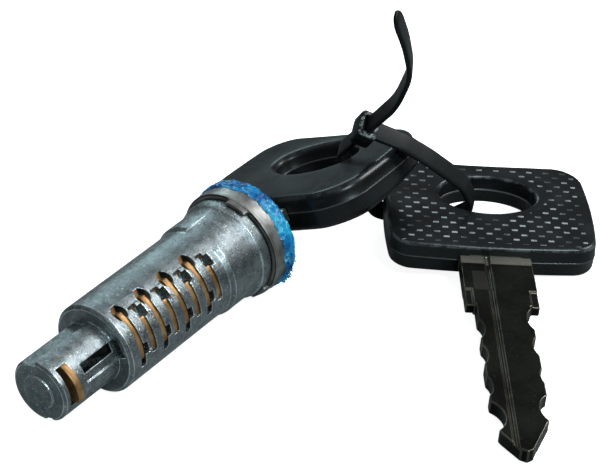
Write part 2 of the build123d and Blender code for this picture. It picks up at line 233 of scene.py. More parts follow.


# Painted shade in the gap at the seam, on the rotor's side of it
def seamGapShade(place, tone):
    outside = place.along(axis).step(seam["rotorFrom"], seam["rotorFrom"] + 0.4)
    return (pastSeam(place).band(-0.07, 0.07, 0.11) * outside).colours(tone, seam["gapShade"])


# The cap's rolled edge: painted shade as a dark line in the gap at the seam and a dark line in the crease
# behind it
def capSeamShade(place, tone):
    past = pastSeam(place)
    lines = past.band(0.12, 0.05, 0.09) * 0.9 + past.band(0.55, 0.02, 0.09) * 0.6
    return lines.math("MINIMUM", 1.0).colours(tone, seam["line"])


zinc = {
    "grain": 0.17 * mm, "cloud": 1.8 * mm, "speck": 0.30 * mm,
    "dark": (0.20, 0.225, 0.235), "light": (0.31, 0.35, 0.365), "glintColour": (0.92, 0.98, 1.0),
    "grainStep": (0.52, 0.70), "cloudStep": (0.35, 0.68), "speckStep": (0.67, 0.74),
    "grainShare": 0.35, "speckShare": 0.9, "grainRough": 0.30, "cloudRough": 0.16,
    "metallic": 0.95, "roughness": 0.29, "bump": 0.85,
}
# Edge colours: paler than the skin, partly wear and partly a painted highlight on the rounded edges
zincEdgeWearAndSheen = dict(zinc, dark=(0.50, 0.57, 0.60), light=(0.80, 0.90, 0.93), roughness=0.27, bump=0.3)
capSteel = dict(
    zinc, dark=(0.20, 0.198, 0.19), light=(0.40, 0.395, 0.38), glintColour=(0.5, 0.47, 0.45),
    cloud=2.4 * mm, roughness=0.42, speckShare=0.3, bump=0.25,
)
capEdge = dict(capSteel, dark=(0.2, 0.19, 0.18), light=(0.4, 0.38, 0.36))
brass = dict(
    zinc, dark=(0.27, 0.135, 0.05), light=(0.48, 0.27, 0.115), glintColour=(0.8, 0.55, 0.3),
    metallic=0.75, roughness=0.44, bump=0.2,
)
brassEdgeWearAndSheen = dict(brass, dark=(0.40, 0.22, 0.09), light=(0.62, 0.38, 0.17), roughness=0.34)
springSteel = dict(zinc, dark=(0.22, 0.22, 0.23), light=(0.42, 0.42, 0.42), roughness=0.3)
bladeSteel = dict(
    zinc, dark=(0.011, 0.0112, 0.009), light=(0.024, 0.0245, 0.020), glintColour=(0.20, 0.195, 0.17),
    cloud=7.0 * mm, roughness=0.40, metallic=1.0, speckShare=0.3, bump=0.2,
)
bladeEdgeWearAndSheen = dict(bladeSteel, dark=(0.09, 0.082, 0.066), light=(0.20, 0.185, 0.15), roughness=0.3)
zincMaterial = castMetal("zincSatin", zinc, seamGapShade)
zincEdgeWearAndSheenMaterial = castMetal("zincEdgeWearAndSheen", zincEdgeWearAndSheen, seamGapShade)
capMaterial = castMetal("capSteel", capSteel, capSeamShade)
capEdgeMaterial = castMetal("capSteelEdge", capEdge, capSeamShade)
brassMaterial = castMetal("brassPlate", brass)
brassEdgeWearAndSheenMaterial = castMetal("brassEdgeWearAndSheen", brassEdgeWearAndSheen)
springMaterial = castMetal("springSteel", springSteel)


# A key's own directions: across the bow, from the tip to the bow, and up from the blade's face
def keyCoordinates(place, key):
    spot = keyPlaces[key]
    lengthwise = spot["top"].cross(spot["across"])
    return [place.along(way, spot["tip"]) for way in (spot["across"], lengthwise, spot["top"])]


blade = {
    "collarFrom": 48.2, "collarSoft": 0.4, "sheen": (0.38, 0.365, 0.31), "scratch": 0.5 * mm,
    "patchLength": (41.0, 46.0), "patchWidth": (-4.3, -0.9), "patch": (0.075, 0.072, 0.06), "patchShare": 0.8,
}


# A collar beside the bow painted paler as a highlight, broken by scratches, and a paler patch below it
def bladeMarks(key):
    def marks(place, tone):
        across, lengthwise, _ = keyCoordinates(place, key)
        scratch = noise(place, blade["scratch"], 3.0, 0.6)
        collar = lengthwise.step(blade["collarFrom"], blade["collarFrom"] + blade["collarSoft"])
        patch = lengthwise.between(*blade["patchLength"], 0.3) * across.between(*blade["patchWidth"], 0.2)
        tone = (patch * blade["patchShare"]).colours(tone, blade["patch"])
        return (collar * (scratch * 0.5 + 0.6)).colours(tone, blade["sheen"])

    return marks


bladeMaterials = {
    key: (
        castMetal(key + "BladeSteel", bladeSteel, bladeMarks(key)),
        castMetal(key + "BladeEdgeWearAndSheen", bladeEdgeWearAndSheen, bladeMarks(key)),
    )
    for key in keyPlaces
}

# The edge is painted paler between two heights over the key's middle plane, where it rises and falls: partly
# wear, partly a painted highlight on the rounding
bowPlastic = {
    "grain": 0.20 * mm, "cloud": 6.0 * mm, "dark": (0.0050, 0.0060, 0.0064), "light": (0.011, 0.0125, 0.013),
    "roughness": 0.30, "specular": 0.3,
    "scuffSize": 1.6 * mm, "edgeWearAndSheen": (0.085, 0.092, 0.095), "edgeWearAndSheenShare": 0.8,
    "edgeRise": (2.05, 2.3), "edgeFall": (2.6, 2.74),
    # the parting line's colour is a painted highlight along the raised line
    "line": (0.075, 0.08, 0.08), "lineHalf": 0.05, "lineSoft": 0.10,
}
# The raised squares are painted pale in the colour given here as glints, stronger or weaker by a noise
checks = {
    "column": 1.49, "row": 2.9, "halfAcross": 0.46, "halfAlong": 0.21, "soft": 0.06, "height": 0.35,
    "colour": (0.34, 0.36, 0.365), "sheenSize": 4.5 * mm,
    "holeMiddle": 67.7, "holeAcross": 10.2, "holeAlong": 7.4, "from": 52.4, "to": 75.6, "across": 15.8,
}


# Small raised squares, every second column half a row on, kept off the rim and the hole's edge
def checkMask(across, lengthwise, above):
    column = across / checks["column"]
    odd = column.math("FLOOR").math("FLOORED_MODULO", 2.0)
    row = lengthwise / checks["row"] + odd * 0.5
    inColumn = (column.math("FRACT") - 0.5) * checks["column"]
    inRow = (row.math("FRACT") - 0.5) * checks["row"]
    squares = inColumn.band(0.0, checks["halfAcross"], checks["soft"])
    squares = squares * inRow.band(0.0, checks["halfAlong"], checks["soft"])
    fromHole = (across / checks["holeAcross"]).math("POWER", 2.0)
    fromHole = fromHole + ((lengthwise - checks["holeMiddle"]) / checks["holeAlong"]).math("POWER", 2.0)
    field = across.band(0.0, checks["across"], 0.2) * lengthwise.between(checks["from"], checks["to"], 0.2)
    return squares * field * fromHole.step(1.0, 1.06) * above.math("ABSOLUTE").step(2.6, 2.7)


# Moulded plastic: black, with a faint grain, an edge band painted paler as wear and highlight, and the
# mould's parting line, raised and painted paler as a highlight; checked bows get raised squares painted pale
# as glints
def bowSurface(key, settings, checked):
    material, tree, shader, place = newMaterial(key + "BowPlastic")
    grain = noise(place, settings["grain"], 2.0, 0.6)
    cloud = noise(place, settings["cloud"], 3.0, 0.6)
    across, lengthwise, above = keyCoordinates(place, key)
    parting = above.band(0.0, settings["lineHalf"], settings["lineSoft"])
    tone = cloud.step(0.4, 0.75).colours(settings["dark"], settings["light"])
    # the raised parting line is painted paler as a highlight
    tone = (parting * 0.8).colours(tone, settings["line"])
    # the rounded edge is painted paler: partly wear, partly a painted highlight
    edgeWearAndSheen = above.step(*settings["edgeRise"]) - above.step(*settings["edgeFall"])
    scuffed = noise(place, settings["scuffSize"], 3.0, 0.65).step(0.40, 0.62)
    tone = (edgeWearAndSheen * scuffed * settings["edgeWearAndSheenShare"]).colours(tone, settings["edgeWearAndSheen"])
    height = grain * 0.1 + cloud * 0.05 + parting * 0.5
    if checked:
        # the raised squares are painted pale as glints, more in some places than others by a noise
        squares = checkMask(across, lengthwise, above)
        sheen = noise(place, checks["sheenSize"], 2.0, 0.5).step(0.38, 0.62)
        tone = (squares * (sheen * 0.85 + 0.12)).colours(tone, checks["colour"])
        height = height + squares * checks["height"]
    setShader(tree, shader, {
        "Base Color": tone,
        "Roughness": (cloud - 0.5) * 0.2 + (grain - 0.5) * 0.1 + settings["roughness"],
        "Specular IOR Level": settings["specular"],
        "Normal": bump(height, 0.6, 0.15 * mm),
    })
    return material


checkedPlastic = dict(bowPlastic, dark=(0.005, 0.006, 0.0065), light=(0.011, 0.0128, 0.0134))
bowMaterials = {
    "key": bowSurface("key", dict(bowPlastic, edgeWearAndSheenShare=0.25), False),
    "spare_key": bowSurface("spare_key", checkedPlastic, True),
}

film = {
    "deep": (0.002, 0.060, 0.22), "blue": (0.002, 0.20, 0.46), "pale": (0.015, 0.40, 0.66),
    "glint": (0.55, 0.85, 0.95), "roughness": 0.30, "specular": 0.3, "coat": 0.3,
    "patch": 6.0 * mm, "fold": 2.0 * mm, "foldStretch": (2.4, 1.0, 1.0),
}


# Thin coloured film: crumpled, darker along the folds, with a painted highlight along the creases
def filmSurface(settings):
    material, tree, shader, place = newMaterial("blueFilm")
    patches = noise(place, settings["patch"], 2.0, 0.5)
    folds = noise(place, settings["fold"], 3.0, 0.55, settings["foldStretch"])
    creases = folds.band(0.5, 0.003, 0.010)
    tone = patches.step(0.38, 0.50).colours(settings["deep"], settings["blue"])
    tone = (patches.step(0.50, 0.62) * 0.8).colours(tone, settings["pale"])
    tone = (folds.step(0.56, 0.66) * 0.35).colours(tone, settings["deep"])
    tone = (creases * patches.step(0.42, 0.55) * 0.8).colours(tone, settings["glint"])
    setShader(tree, shader, {
        "Base Color": tone,
        "Roughness": (patches - 0.5) * 0.3 + settings["roughness"],
        "Specular IOR Level": settings["specular"],
        "Coat Weight": patches.step(0.4, 0.6) * settings["coat"],
        "Normal": bump(folds + patches * 0.5, 0.6, 0.4 * mm),
    })
    return material


filmMaterial = filmSurface(film)
print("materials done")


def addObject(name, mesh, body, materials, replaced=()):
    made = bpy.data.objects.new(name, mesh)
    scene.collection.objects.link(made)
    mesh.materials.clear()
    for material in materials:
        mesh.materials.append(material)
    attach(made, body)
    if replaced:
        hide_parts(*replaced)
    return made


def meshFrom(name, points, faces):
    mesh = bpy.data.meshes.new(name)
    mesh.from_pydata(np.asarray(points).tolist(), [], np.asarray(faces).tolist())
    mesh.validate()
    mesh.shade_smooth()
    return mesh


# A mesh with its open ends filled, its doubled points merged and its faces turned outwards
def closedMesh(name, points, faces, endSides=0):
    mesh = meshFrom(name, points, faces)
    shape = bmesh.new()
    shape.from_mesh(mesh)
    if endSides:
        bmesh.ops.holes_fill(shape, edges=shape.edges[:], sides=endSides)
    bmesh.ops.remove_doubles(shape, verts=shape.verts[:], dist=0.001 * mm)
    bmesh.ops.recalc_face_normals(shape, faces=shape.faces[:])
    shape.to_mesh(mesh)
    shape.free()
    mesh.shade_smooth()
    return mesh


# Faces of a grid of rows by columns; each way can run round and close on itself
def gridFaces(rows, columns, closeRows=False, closeColumns=False):
    i, j = np.meshgrid(
        np.arange(rows if closeRows else rows - 1),
        np.arange(columns if closeColumns else columns - 1),
        indexing="ij",
    )
    below, right = (i + 1) % rows, (j + 1) % columns
    corners = [i * columns + j, i * columns + right, below * columns + right, below * columns + j]
    return np.stack(corners, -1).reshape(-1, 4)


# Smooth value noise: seeded numbers on a lattice that closes round the first way
def waves(rounds, across, seed, u, v):
    numbers = np.random.default_rng(seed).uniform(-1, 1, (rounds, across + 2))
    a, b = (u % 1.0) * rounds, np.clip(v, 0, 1) * across
    i, j = np.floor(a).astype(int) % rounds, np.minimum(np.floor(b).astype(int), across)
    s, t = a - np.floor(a), b - j
    s, t = s * s * (3 - 2 * s), t * t * (3 - 2 * t)
    k = (i + 1) % rounds
    low = numbers[i, j] * (1 - s) + numbers[k, j] * s
    high = numbers[i, j + 1] * (1 - s) + numbers[k, j + 1] * s
    return low * (1 - t) + high * t


# The groove on the tail's upper side is open towards the side: its floor runs out flat. It is turned
# from the slide's way, and only points within the radius and between floor and top belong to its wall.
openGroove = {"turned": -82.0, "floor": 4.6, "from": -0.5, "top": 5.7, "radius": 5.4}


# Points of the tail beside the groove and higher than its floor come down to the floor
def flattenTail(shape):
    turned = math.radians(openGroove["turned"])
    outward = slide * math.cos(turned) + aside * math.sin(turned)
    around = axis.cross(outward)
    for point in shape.verts:
        height, across = point.co.dot(outward) / mm, point.co.dot(around) / mm
        onTail = point.co.x < 0.001 * mm and math.hypot(height, across) < openGroove["radius"]
        if onTail and across < openGroove["from"] and openGroove["floor"] < height < openGroove["top"]:
            point.co += outward * (openGroove["floor"] - height) * mm


# Hard pieces keep the form of their solids and get rounded edges in an edge material, paler on most pieces:
# partly wear, partly a painted highlight
rounding = {"merge": 0.002, "flatUnder": 0.5, "sharpOver": 22.0, "segments": 2, "flatWeight": 50}
edgeWidth = {"rotor": 0.09, "cap": 0.08, "wafer": 0.06, "latch": 0.08, "blade": 0.22}


# The solid's triangles are merged and joined where they lie flat, then the sharp edges are bevelled
def roundedPiece(node, width, surface, edge, reshape=None):
    work = bmesh.new()
    work.from_mesh(frame["nodes"][node].data)
    merge = rounding["merge"] * mm
    bmesh.ops.remove_doubles(work, verts=work.verts, dist=merge)
    if reshape:
        reshape(work)
        bmesh.ops.remove_doubles(work, verts=work.verts, dist=merge)
    flat = math.radians(rounding["flatUnder"])
    bmesh.ops.dissolve_limit(work, angle_limit=flat, verts=work.verts[:], edges=work.edges[:])
    mesh = bpy.data.meshes.new(node + "Rounded")
    work.to_mesh(mesh)
    work.free()
    made = addObject(node + "Rounded", mesh, bodyOf[node], [surface, edge], [node])
    mesh.polygons.foreach_set("material_index", np.zeros(len(mesh.polygons), np.int32))
    mesh.shade_smooth()
    bevel = made.modifiers.new("edges", "BEVEL")
    bevel.width = width * mm
    bevel.segments = rounding["segments"]
    bevel.limit_method = "ANGLE"
    bevel.angle_limit = math.radians(rounding["sharpOver"])
    bevel.use_clamp_overlap = False
    # the bevel's faces take the edge material, painted paler as wear and highlight
    bevel.material = 1
    # the large faces keep their own direction, so they are shaded flat
    weighted = made.modifiers.new("flatFaces", "WEIGHTED_NORMAL")
    weighted.mode = "FACE_AREA"
    weighted.weight = rounding["flatWeight"]


roundedPiece("rotor", edgeWidth["rotor"], zincMaterial, zincEdgeWearAndSheenMaterial, flattenTail)
roundedPiece("cap", edgeWidth["cap"], capMaterial, capEdgeMaterial)
for number in range(1, 9):
    roundedPiece(f"wafer_{number}", edgeWidth["wafer"], brassMaterial, brassEdgeWearAndSheenMaterial)
roundedPiece("latch_wafer", edgeWidth["latch"], brassMaterial, brassEdgeWearAndSheenMaterial)
for key in keyPlaces:
    roundedPiece(key + "_blade", edgeWidth["blade"], *bladeMaterials[key])
print("rounded pieces done")

coil = {"sides": 8, "perTurn": 24}


# Springs: a ring of points carried along a helix of so many turns, closed turns at both ends
def windSpring(name, node, foot, direction, length, turns, radius, wire):
    direction = Vector(direction).normalized()
    first = direction.orthogonal().normalized()
    second = direction.cross(first)
    base = np.array([first, second, direction])
    steps = turns * coil["perTurn"] + 1
    share = np.linspace(0, 1, steps)[:, None]
    angle = share * turns * 2 * math.pi
    middle = radius - wire / 2
    # the wire's centre climbs fast in the middle turns and slowly in the first and last
    climb = np.clip((share * turns - 1) / (turns - 2), 0, 1) * (length - 3 * wire) + wire / 2
    climb = climb + wire * (np.clip(share * turns, 0, 1) + np.clip(share * turns - turns + 1, 0, 1))
    around = np.linspace(0, 2 * math.pi, coil["sides"], endpoint=False)[None, :]
    out = middle + wire / 2 * np.cos(around)
    local = np.stack([out * np.cos(angle), out * np.sin(angle), climb + wire / 2 * np.sin(around)], -1)
    points = (local.reshape(-1, 3) @ base) * mm + np.array(foot)
    faces = gridFaces(steps, coil["sides"], closeColumns=True)
    mesh = closedMesh(name, points, faces, coil["sides"])
    return addObject(name, mesh, bodyOf[node], [springMaterial], [node])


waferSpring = {"length": 5.0, "turns": 8, "radius": 1.0, "wire": 0.28}
wells = {"first": 2.87, "pitch": 2.72, "beside": 4.0, "floor": -1.5}
for number in range(8):
    way = slide if number % 2 == 0 else -slide
    foot = axis * (wells["first"] + number * wells["pitch"]) * mm + aside * keywayOffset
    foot = foot + way * wells["floor"] * mm + way.cross(axis) * wells["beside"] * mm
    windSpring(f"waferSpring{number + 1}", f"wafer_spring_{number + 1}", foot, way, **waferSpring)

latchSpring = {"length": 4.0, "turns": 7, "radius": 1.0, "wire": 0.28}
latchWell = {"place": -9.6, "floor": -3.6}
latchFoot = axis * latchWell["place"] * mm + slide * latchWell["floor"] * mm
latchCoil = windSpring("latchSpring", "latch_spring", latchFoot, slide, **latchSpring)
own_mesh(latchCoil)

shutterSpring = {"length": 3.0, "turns": 9, "radius": 0.7, "wire": 0.24}
low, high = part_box("shutter_spring")
shutterFoot = (low + high) / 2 - slide * shutterSpring["length"] / 2 * mm
windSpring("shutterSpring", "shutter_spring", shutterFoot, slide, **shutterSpring)
print("springs done")


# Places round the rotor's axis: so far along it, so far out from it and turned so far from the slide's way
def roundAxis(along, out, angle):
    outward = np.cos(angle)[..., None] * np.array(slide) + np.sin(angle)[..., None] * np.array(aside)
    return ((along[..., None] * np.array(axis) + out[..., None] * outward) * mm).reshape(-1, 3)


# Torn edges and crumples: how many waves go round, how many across, the seed and how far they reach
band = {
    "around": 720, "along": 44, "radius": 9.6, "rear": 36.75, "front": 39.05, "stand": 0.26, "lip": 1.1,
    "lying": 0.62, "overhang": 0.58, "thickness": 0.07,
    "rearTears": ((46, 1, 3, 0.28), (170, 1, 4, 0.16)), "frontTears": ((60, 1, 5, 0.25), (150, 1, 6, 0.18)),
    "tongues": (9, 1, 8, 1.1), "crumples": ((96, 6, 11, 0.11), (260, 14, 12, 0.03)),
    "folds": (60, 5, 13, 0.2), "wander": (200, 12, 14, 0.12),
}


def waveSum(layers, u, v):
    return sum(waves(rounds, across, seed, u, v) * reach for rounds, across, seed, reach in layers)


# Film round the cap: its line runs from the torn rear edge over the cap, then turns in over the cap's
# front edge, and waves of several sizes lift it off and shift it along
def filmMesh():
    shares = np.arange(band["around"]) / band["around"], np.linspace(0, 1, band["along"])
    u, v = np.meshgrid(*shares, indexing="ij")
    rounds, across, seed, reach = band["tongues"]
    ragged = waveSum(band["rearTears"], u, 0 * v)
    ragged = ragged + np.clip(waves(rounds, across, seed, u, 0 * v) - 0.35, 0, 1) * reach
    onCap = np.clip(v / band["lying"], 0, 1)
    turned = np.clip((v - band["lying"]) / (1 - band["lying"]), 0, 1)
    bend = np.sin(np.clip(turned * 2.2, 0, 1) * math.pi / 2)
    along = band["rear"] + ragged * (1 - onCap) + (band["front"] - band["rear"]) * onCap
    along = along + band["overhang"] * bend
    out = band["radius"] + band["stand"] - 0.17 * (1 - onCap) ** 3
    out = out - (band["lip"] + waveSum(band["frontTears"], u, 0 * v)) * turned ** 1.4 - 0.05 * bend
    rounds, across, seed, reach = band["folds"]
    crumple = waveSum(band["crumples"], u, v) - np.abs(waves(rounds, across, seed, u, v)) * reach + 0.06
    edge = np.minimum(1.0, np.minimum(v / 0.06, (1 - v) / 0.08))
    out = out + crumple * (0.45 + 0.55 * edge) * (1 - 0.4 * turned)
    along = along + waveSum([band["wander"]], u, v) * (0.4 + turned)
    faces = gridFaces(band["around"], band["along"], closeRows=True)
    return meshFrom("filmBand", roundAxis(along, out, 2 * math.pi * u), faces)


shreds = {
    "count": 30, "rows": 6, "columns": 3, "from": 24.0, "to": 74.0, "feet": (37.4, 39.7), "radius": 9.75,
    "turnRadius": 9.8, "length": 1.3, "width": 0.8, "thickness": 0.05, "seed": 21,
}


# Torn ends of the film: each strip rises from the film, leans along or round it and narrows to its end
def shredMesh():
    chance = np.random.default_rng(shreds["seed"])
    count, rows, columns = shreds["count"], shreds["rows"], shreds["columns"]
    angle = np.radians(chance.uniform(shreds["from"], shreds["to"], count))[:, None, None]
    start = chance.uniform(*shreds["feet"], count)[:, None, None]
    length = shreds["length"] * chance.uniform(0.35, 1.0, count)[:, None, None] ** 1.3
    width = shreds["width"] * chance.uniform(0.4, 1.0, count)[:, None, None]
    lean = chance.uniform(-1.0, 1.0, (3, count))[:, :, None, None]
    s = np.linspace(0, 1, rows)[None, :, None]
    t = np.linspace(-0.5, 0.5, columns)[None, None, :]
    taper = (1 - 0.8 * s ** 1.5) * width
    along = start + lean[0] * length * s + t * taper
    rise = length * (0.25 + 0.75 * s) * s * (0.4 + 0.5 * np.abs(lean[2]))
    out = shreds["radius"] + rise + 0.12 * np.cos(t * 6)
    turned = angle + (lean[1] * s * length * 0.9 + t * taper * lean[2]) / shreds["turnRadius"]
    block = gridFaces(rows, columns)
    faces = (block[None] + (np.arange(count) * rows * columns)[:, None, None]).reshape(-1, 4)
    return meshFrom("filmShreds", roundAxis(along, out, turned), faces)


def thicken(piece, thickness, offset=0.0):
    solid = piece.modifiers.new("thickness", "SOLIDIFY")
    solid.thickness = thickness * mm
    solid.offset = offset


filmPiece = addObject("filmBand", filmMesh(), "rotor_body", [filmMaterial], ["film_band"])
thicken(filmPiece, band["thickness"], 1.0)
shredPiece = addObject("filmShreds", shredMesh(), "rotor_body", [filmMaterial], ())
thicken(shredPiece, shreds["thickness"])
print("film done")

# Cable tie: it lies in one plane through both bows' holes; corners are given in that plane
tie = {
    "origin": (61.89, -4.65, 3.03), "along": (0.5170, -0.7125, -0.4745), "side": (-0.8414, -0.3210, -0.4348),
    "width": 3.5, "thickness": 1.0, "sides": 28, "widthPower": 0.35, "thickPower": 0.69,
    "loop": ((-2.6, 11.0), (-3.0, 3.4), (2.5, -2.7), (10.1, -10.1), (20.8, -5.1), (22.9, 4.1),
             (17.9, 9.4), (9.9, 12.2), (4.4, 13.4), (-1.5, 13.2)),
    "loopBends": (2.0, 6.0, 2.2, 2.2, 5.0, 6.0, 8.0, 8.0),
    "tail": ((-2.6, 11.0), (-2.4, 13.8), (-1.8, 23.5), (-3.8, 33.3), (-8.1, 40.0), (-12.4, 45.3)),
    "tailBends": (20.0, 20.0, 14.0, 20.0),
    "step": 0.35, "tailEase": 1.2, "loopEase": 0.5, "tailTwist": -8.0, "tailEnd": 3.0,
}
tieSide = Vector(tie["side"]).normalized()
tieAlong = Vector(tie["along"]).normalized()
tieUp = tieSide.cross(tieAlong)
tieOrigin = Vector(tie["origin"]) * mm
# The tie's head: a rounded box with a raised rim round the slot that the strap passes through.
# Each ring has its height and its size, from the foot to the slot's mouth and its floor.
head = {
    "place": (-2.4, 12.5), "depth": 3.5, "length": 3.8, "width": 5.0, "square": 7, "around": 64,
    "rings": ((-0.5, 0.0), (-0.5, 0.86), (-0.47, 0.95), (-0.40, 0.99), (0.0, 1.0), (0.40, 0.99),
              (0.47, 0.96), (0.5, 0.89), (0.5, 0.66), (0.48, 0.60), (0.30, 0.56), (0.28, 0.0)),
    "scratch": 0.9 * mm, "scratchStretch": (1.0, 1.0, 2.5), "scuffFrom": 1.5, "scuffTo": 1.85,
}


# Dull black plastic; on the head, its end face is scuffed pale
def tieSurface(name, settings, scuffed):
    material, tree, shader, place = newMaterial(name)
    grain = noise(place, settings["grain"], 2.0, 0.6)
    cloud = noise(place, settings["cloud"], 3.0, 0.6)
    tone = cloud.step(0.4, 0.75).colours(settings["dark"], settings["light"])
    if scuffed:
        scratches = noise(place, head["scratch"], 4.0, 0.7, head["scratchStretch"]).step(0.46, 0.60)
        overHead = place.along(tieUp, tieOrigin) - head["place"][1]
        endFace = overHead.step(head["scuffFrom"], head["scuffTo"])
        tone = (scratches * (endFace * 0.85 + 0.05)).colours(tone, settings["scuff"])
    setShader(tree, shader, {
        "Base Color": tone,
        "Roughness": (cloud - 0.5) * 0.2 + (grain - 0.5) * 0.1 + settings["roughness"],
        "Specular IOR Level": settings["specular"],
        "Normal": bump(grain * 0.1 + cloud * 0.3, 0.5, 0.15 * mm),
    })
    return material


tiePlastic = dict(bowPlastic, roughness=0.46, specular=0.16, scuff=(0.27, 0.285, 0.29))
tieMaterial = tieSurface("tiePlastic", tiePlastic, False)
tieScuffMaterial = tieSurface("tieHeadPlastic", dict(tiePlastic, roughness=0.5), True)


# Straight runs joined by arcs that touch both, evenly divided and then eased
def bentLine(corners, bends, ease, step, arcPoints=16):
    corners = [np.array(c, float) for c in corners]
    points = [corners[0]]
    for before, corner, after, radius in zip(corners, corners[1:], corners[2:], bends):
        back, on = before - corner, after - corner
        back, on = back / np.linalg.norm(back), on / np.linalg.norm(on)
        half = math.acos(np.clip(back @ on, -1, 1)) / 2
        reach = radius / math.tan(half)
        middle = corner + (back + on) / np.linalg.norm(back + on) * radius / math.sin(half)
        first, last = corner + back * reach - middle, corner + on * reach - middle
        share = np.linspace(0, 1, arcPoints)[:, None]
        swing = first * (1 - share) + last * share
        points.extend(middle + swing / np.linalg.norm(swing, axis=1)[:, None] * radius)
    points.append(corners[-1])
    points = np.array(points)
    runs = np.r_[0, np.cumsum(np.linalg.norm(np.diff(points, axis=0), axis=1))]
    places = np.linspace(0, runs[-1], int(runs[-1] / step) + 1)
    line = np.stack([np.interp(places, runs, points[:, k]) for k in (0, 1)], 1)
    count = int(3 * ease / step)
    weights = np.exp(-0.5 * (np.arange(-count, count + 1) * step / ease) ** 2)
    padded = np.pad(line, ((count, count), (0, 0)), mode="reflect", reflect_type="odd")
    return np.stack([np.convolve(padded[:, k], weights / weights.sum(), "valid") for k in (0, 1)], 1)


# Section of the strap: a circle's cosine and sine drawn out towards a rounded rectangle by two powers
def strapProfile():
    around = np.linspace(0, 2 * math.pi, tie["sides"], endpoint=False)
    width = np.sign(np.cos(around)) * np.abs(np.cos(around)) ** tie["widthPower"]
    thick = np.sign(np.sin(around)) * np.abs(np.sin(around)) ** tie["thickPower"]
    return width * tie["width"] / 2, thick * tie["thickness"] / 2


# The section stands across the line, is turned about it by the twist and made smaller by narrow
def strapMesh(name, line, twist, narrow):
    way = np.gradient(line, axis=0)
    way = way / np.linalg.norm(way, axis=1)[:, None]
    plane = np.array([tieAlong, tieUp])
    middle = np.array(tie["origin"]) + line @ plane
    outward = np.stack([-way[:, 1], way[:, 0]], 1) @ plane
    side = np.tile(np.array(tieSide), (len(line), 1))
    turn = np.radians(twist)[:, None]
    wide = side * np.cos(turn) + outward * np.sin(turn)
    thin = outward * np.cos(turn) - side * np.sin(turn)
    width, thick = strapProfile()
    points = (
        middle[:, None]
        + wide[:, None] * width[None, :, None] * narrow[:, None, None]
        + thin[:, None] * thick[None, :, None] * np.sqrt(narrow)[:, None, None]
    )
    faces = gridFaces(len(line), len(width), closeColumns=True)
    return closedMesh(name, points.reshape(-1, 3) * mm, faces, len(width))


# Full width, rounded off like a half circle over the last few millimetres of the end
def roundEnd(line, reach):
    left = np.r_[np.cumsum(np.linalg.norm(np.diff(line, axis=0), axis=1)[::-1])[::-1], 0]
    return np.sqrt(np.clip(1 - (1 - np.clip(left / reach, 0.004, 1)) ** 2, 0, 1))


# Rings of a rounded rectangle from the foot to the top, drawn in at both ends
def headMesh():
    around = np.linspace(0, 2 * math.pi, head["around"], endpoint=False)
    cosine, sine, power = np.cos(around), np.sin(around), head["square"]
    square = 1 / (np.abs(cosine) ** power + np.abs(sine) ** power) ** (1 / power)
    rings = np.array(head["rings"])
    x = rings[:, 1:] * (cosine * square) * head["depth"] / 2
    y = rings[:, 1:] * (sine * square) * head["width"] / 2
    z = np.repeat(rings[:, :1] * head["length"], len(around), axis=1)
    base = np.array([tieAlong, tieSide, tieUp])
    middle = Vector(tie["origin"]) + tieAlong * head["place"][0] + tieUp * head["place"][1]
    points = np.stack([x, y, z], -1).reshape(-1, 3) @ base + np.array(middle)
    return closedMesh("tieHead", points * mm, gridFaces(len(rings), len(around), closeColumns=True))


loopLine = bentLine(tie["loop"], tie["loopBends"], tie["loopEase"], tie["step"])
loopShape = strapMesh("tieLoop", loopLine, np.zeros(len(loopLine)), np.ones(len(loopLine)))
addObject("tieLoop", loopShape, "key_body", [tieMaterial], ["cable_tie"])
tailLine = bentLine(tie["tail"], tie["tailBends"], tie["tailEase"], tie["step"])
tailTwist = tie["tailTwist"] * np.sin(np.linspace(0, 1, len(tailLine)) * math.pi)
tailShape = strapMesh("tieTail", tailLine, tailTwist, roundEnd(tailLine, tie["tailEnd"]))
addObject("tieTail", tailShape, "key_body", [tieMaterial], ())
addObject("tieHead", headMesh(), "key_body", [tieScuffMaterial], ())
print("cable tie done")

# Bows: sizes in millimetres from the blade's tip; dish and deeper hollow and thicken the first bow
bowForm = {
    "near": 51.6, "far": 77.5, "nearHalf": 17.3, "farHalf": 17.0, "bulge": 0.95, "crown": 0.9,
    "holeMiddle": 67.7, "holeAcross": 8.5, "holeAlong": 5.8, "half": 2.8, "ledge": 0.22, "draft": 0.10,
    "parting": 0.05, "lineLow": 0.03, "lineHigh": 0.11, "turnPoints": 8,
    "faceShares": (0.15, 0.35, 0.55, 0.75, 0.9), "deepTo": 63.0, "flushFrom": 74.0, "step": 0.3, "ease": 0.3,
}
bowSets = {
    "key": dict(bowForm, corners=(5.5, 6.5), edge=1.3, holeEdge=1.3, dish=0.15, deeper=0.9),
    "spare_key": dict(bowForm, corners=(4.5, 3.0), edge=0.85, holeEdge=0.8, dish=0.0, deeper=0.0),
}


# The outline starts and ends in the middle of the far edge; its sides and its near edge swell a little
def bowOutline(form):
    far, near = form["corners"]
    corners = (
        (0, form["far"]), (-form["farHalf"], form["far"]), (-form["nearHalf"], form["near"]),
        (form["nearHalf"], form["near"]), (form["farHalf"], form["far"]), (0, form["far"]),
    )
    line = bentLine(corners, (far, near, near, far), form["ease"], form["step"])[:-1]
    height = (line[:, 1] - form["near"]) / (form["far"] - form["near"])
    swell = 1 + form["bulge"] / form["nearHalf"] * (1 - (2 * height - 1) ** 2)
    crown = form["crown"] * (1 - (line[:, 0] / form["nearHalf"]) ** 2) * (1 - height)
    return np.stack([line[:, 0] * swell, line[:, 1] - crown], 1)


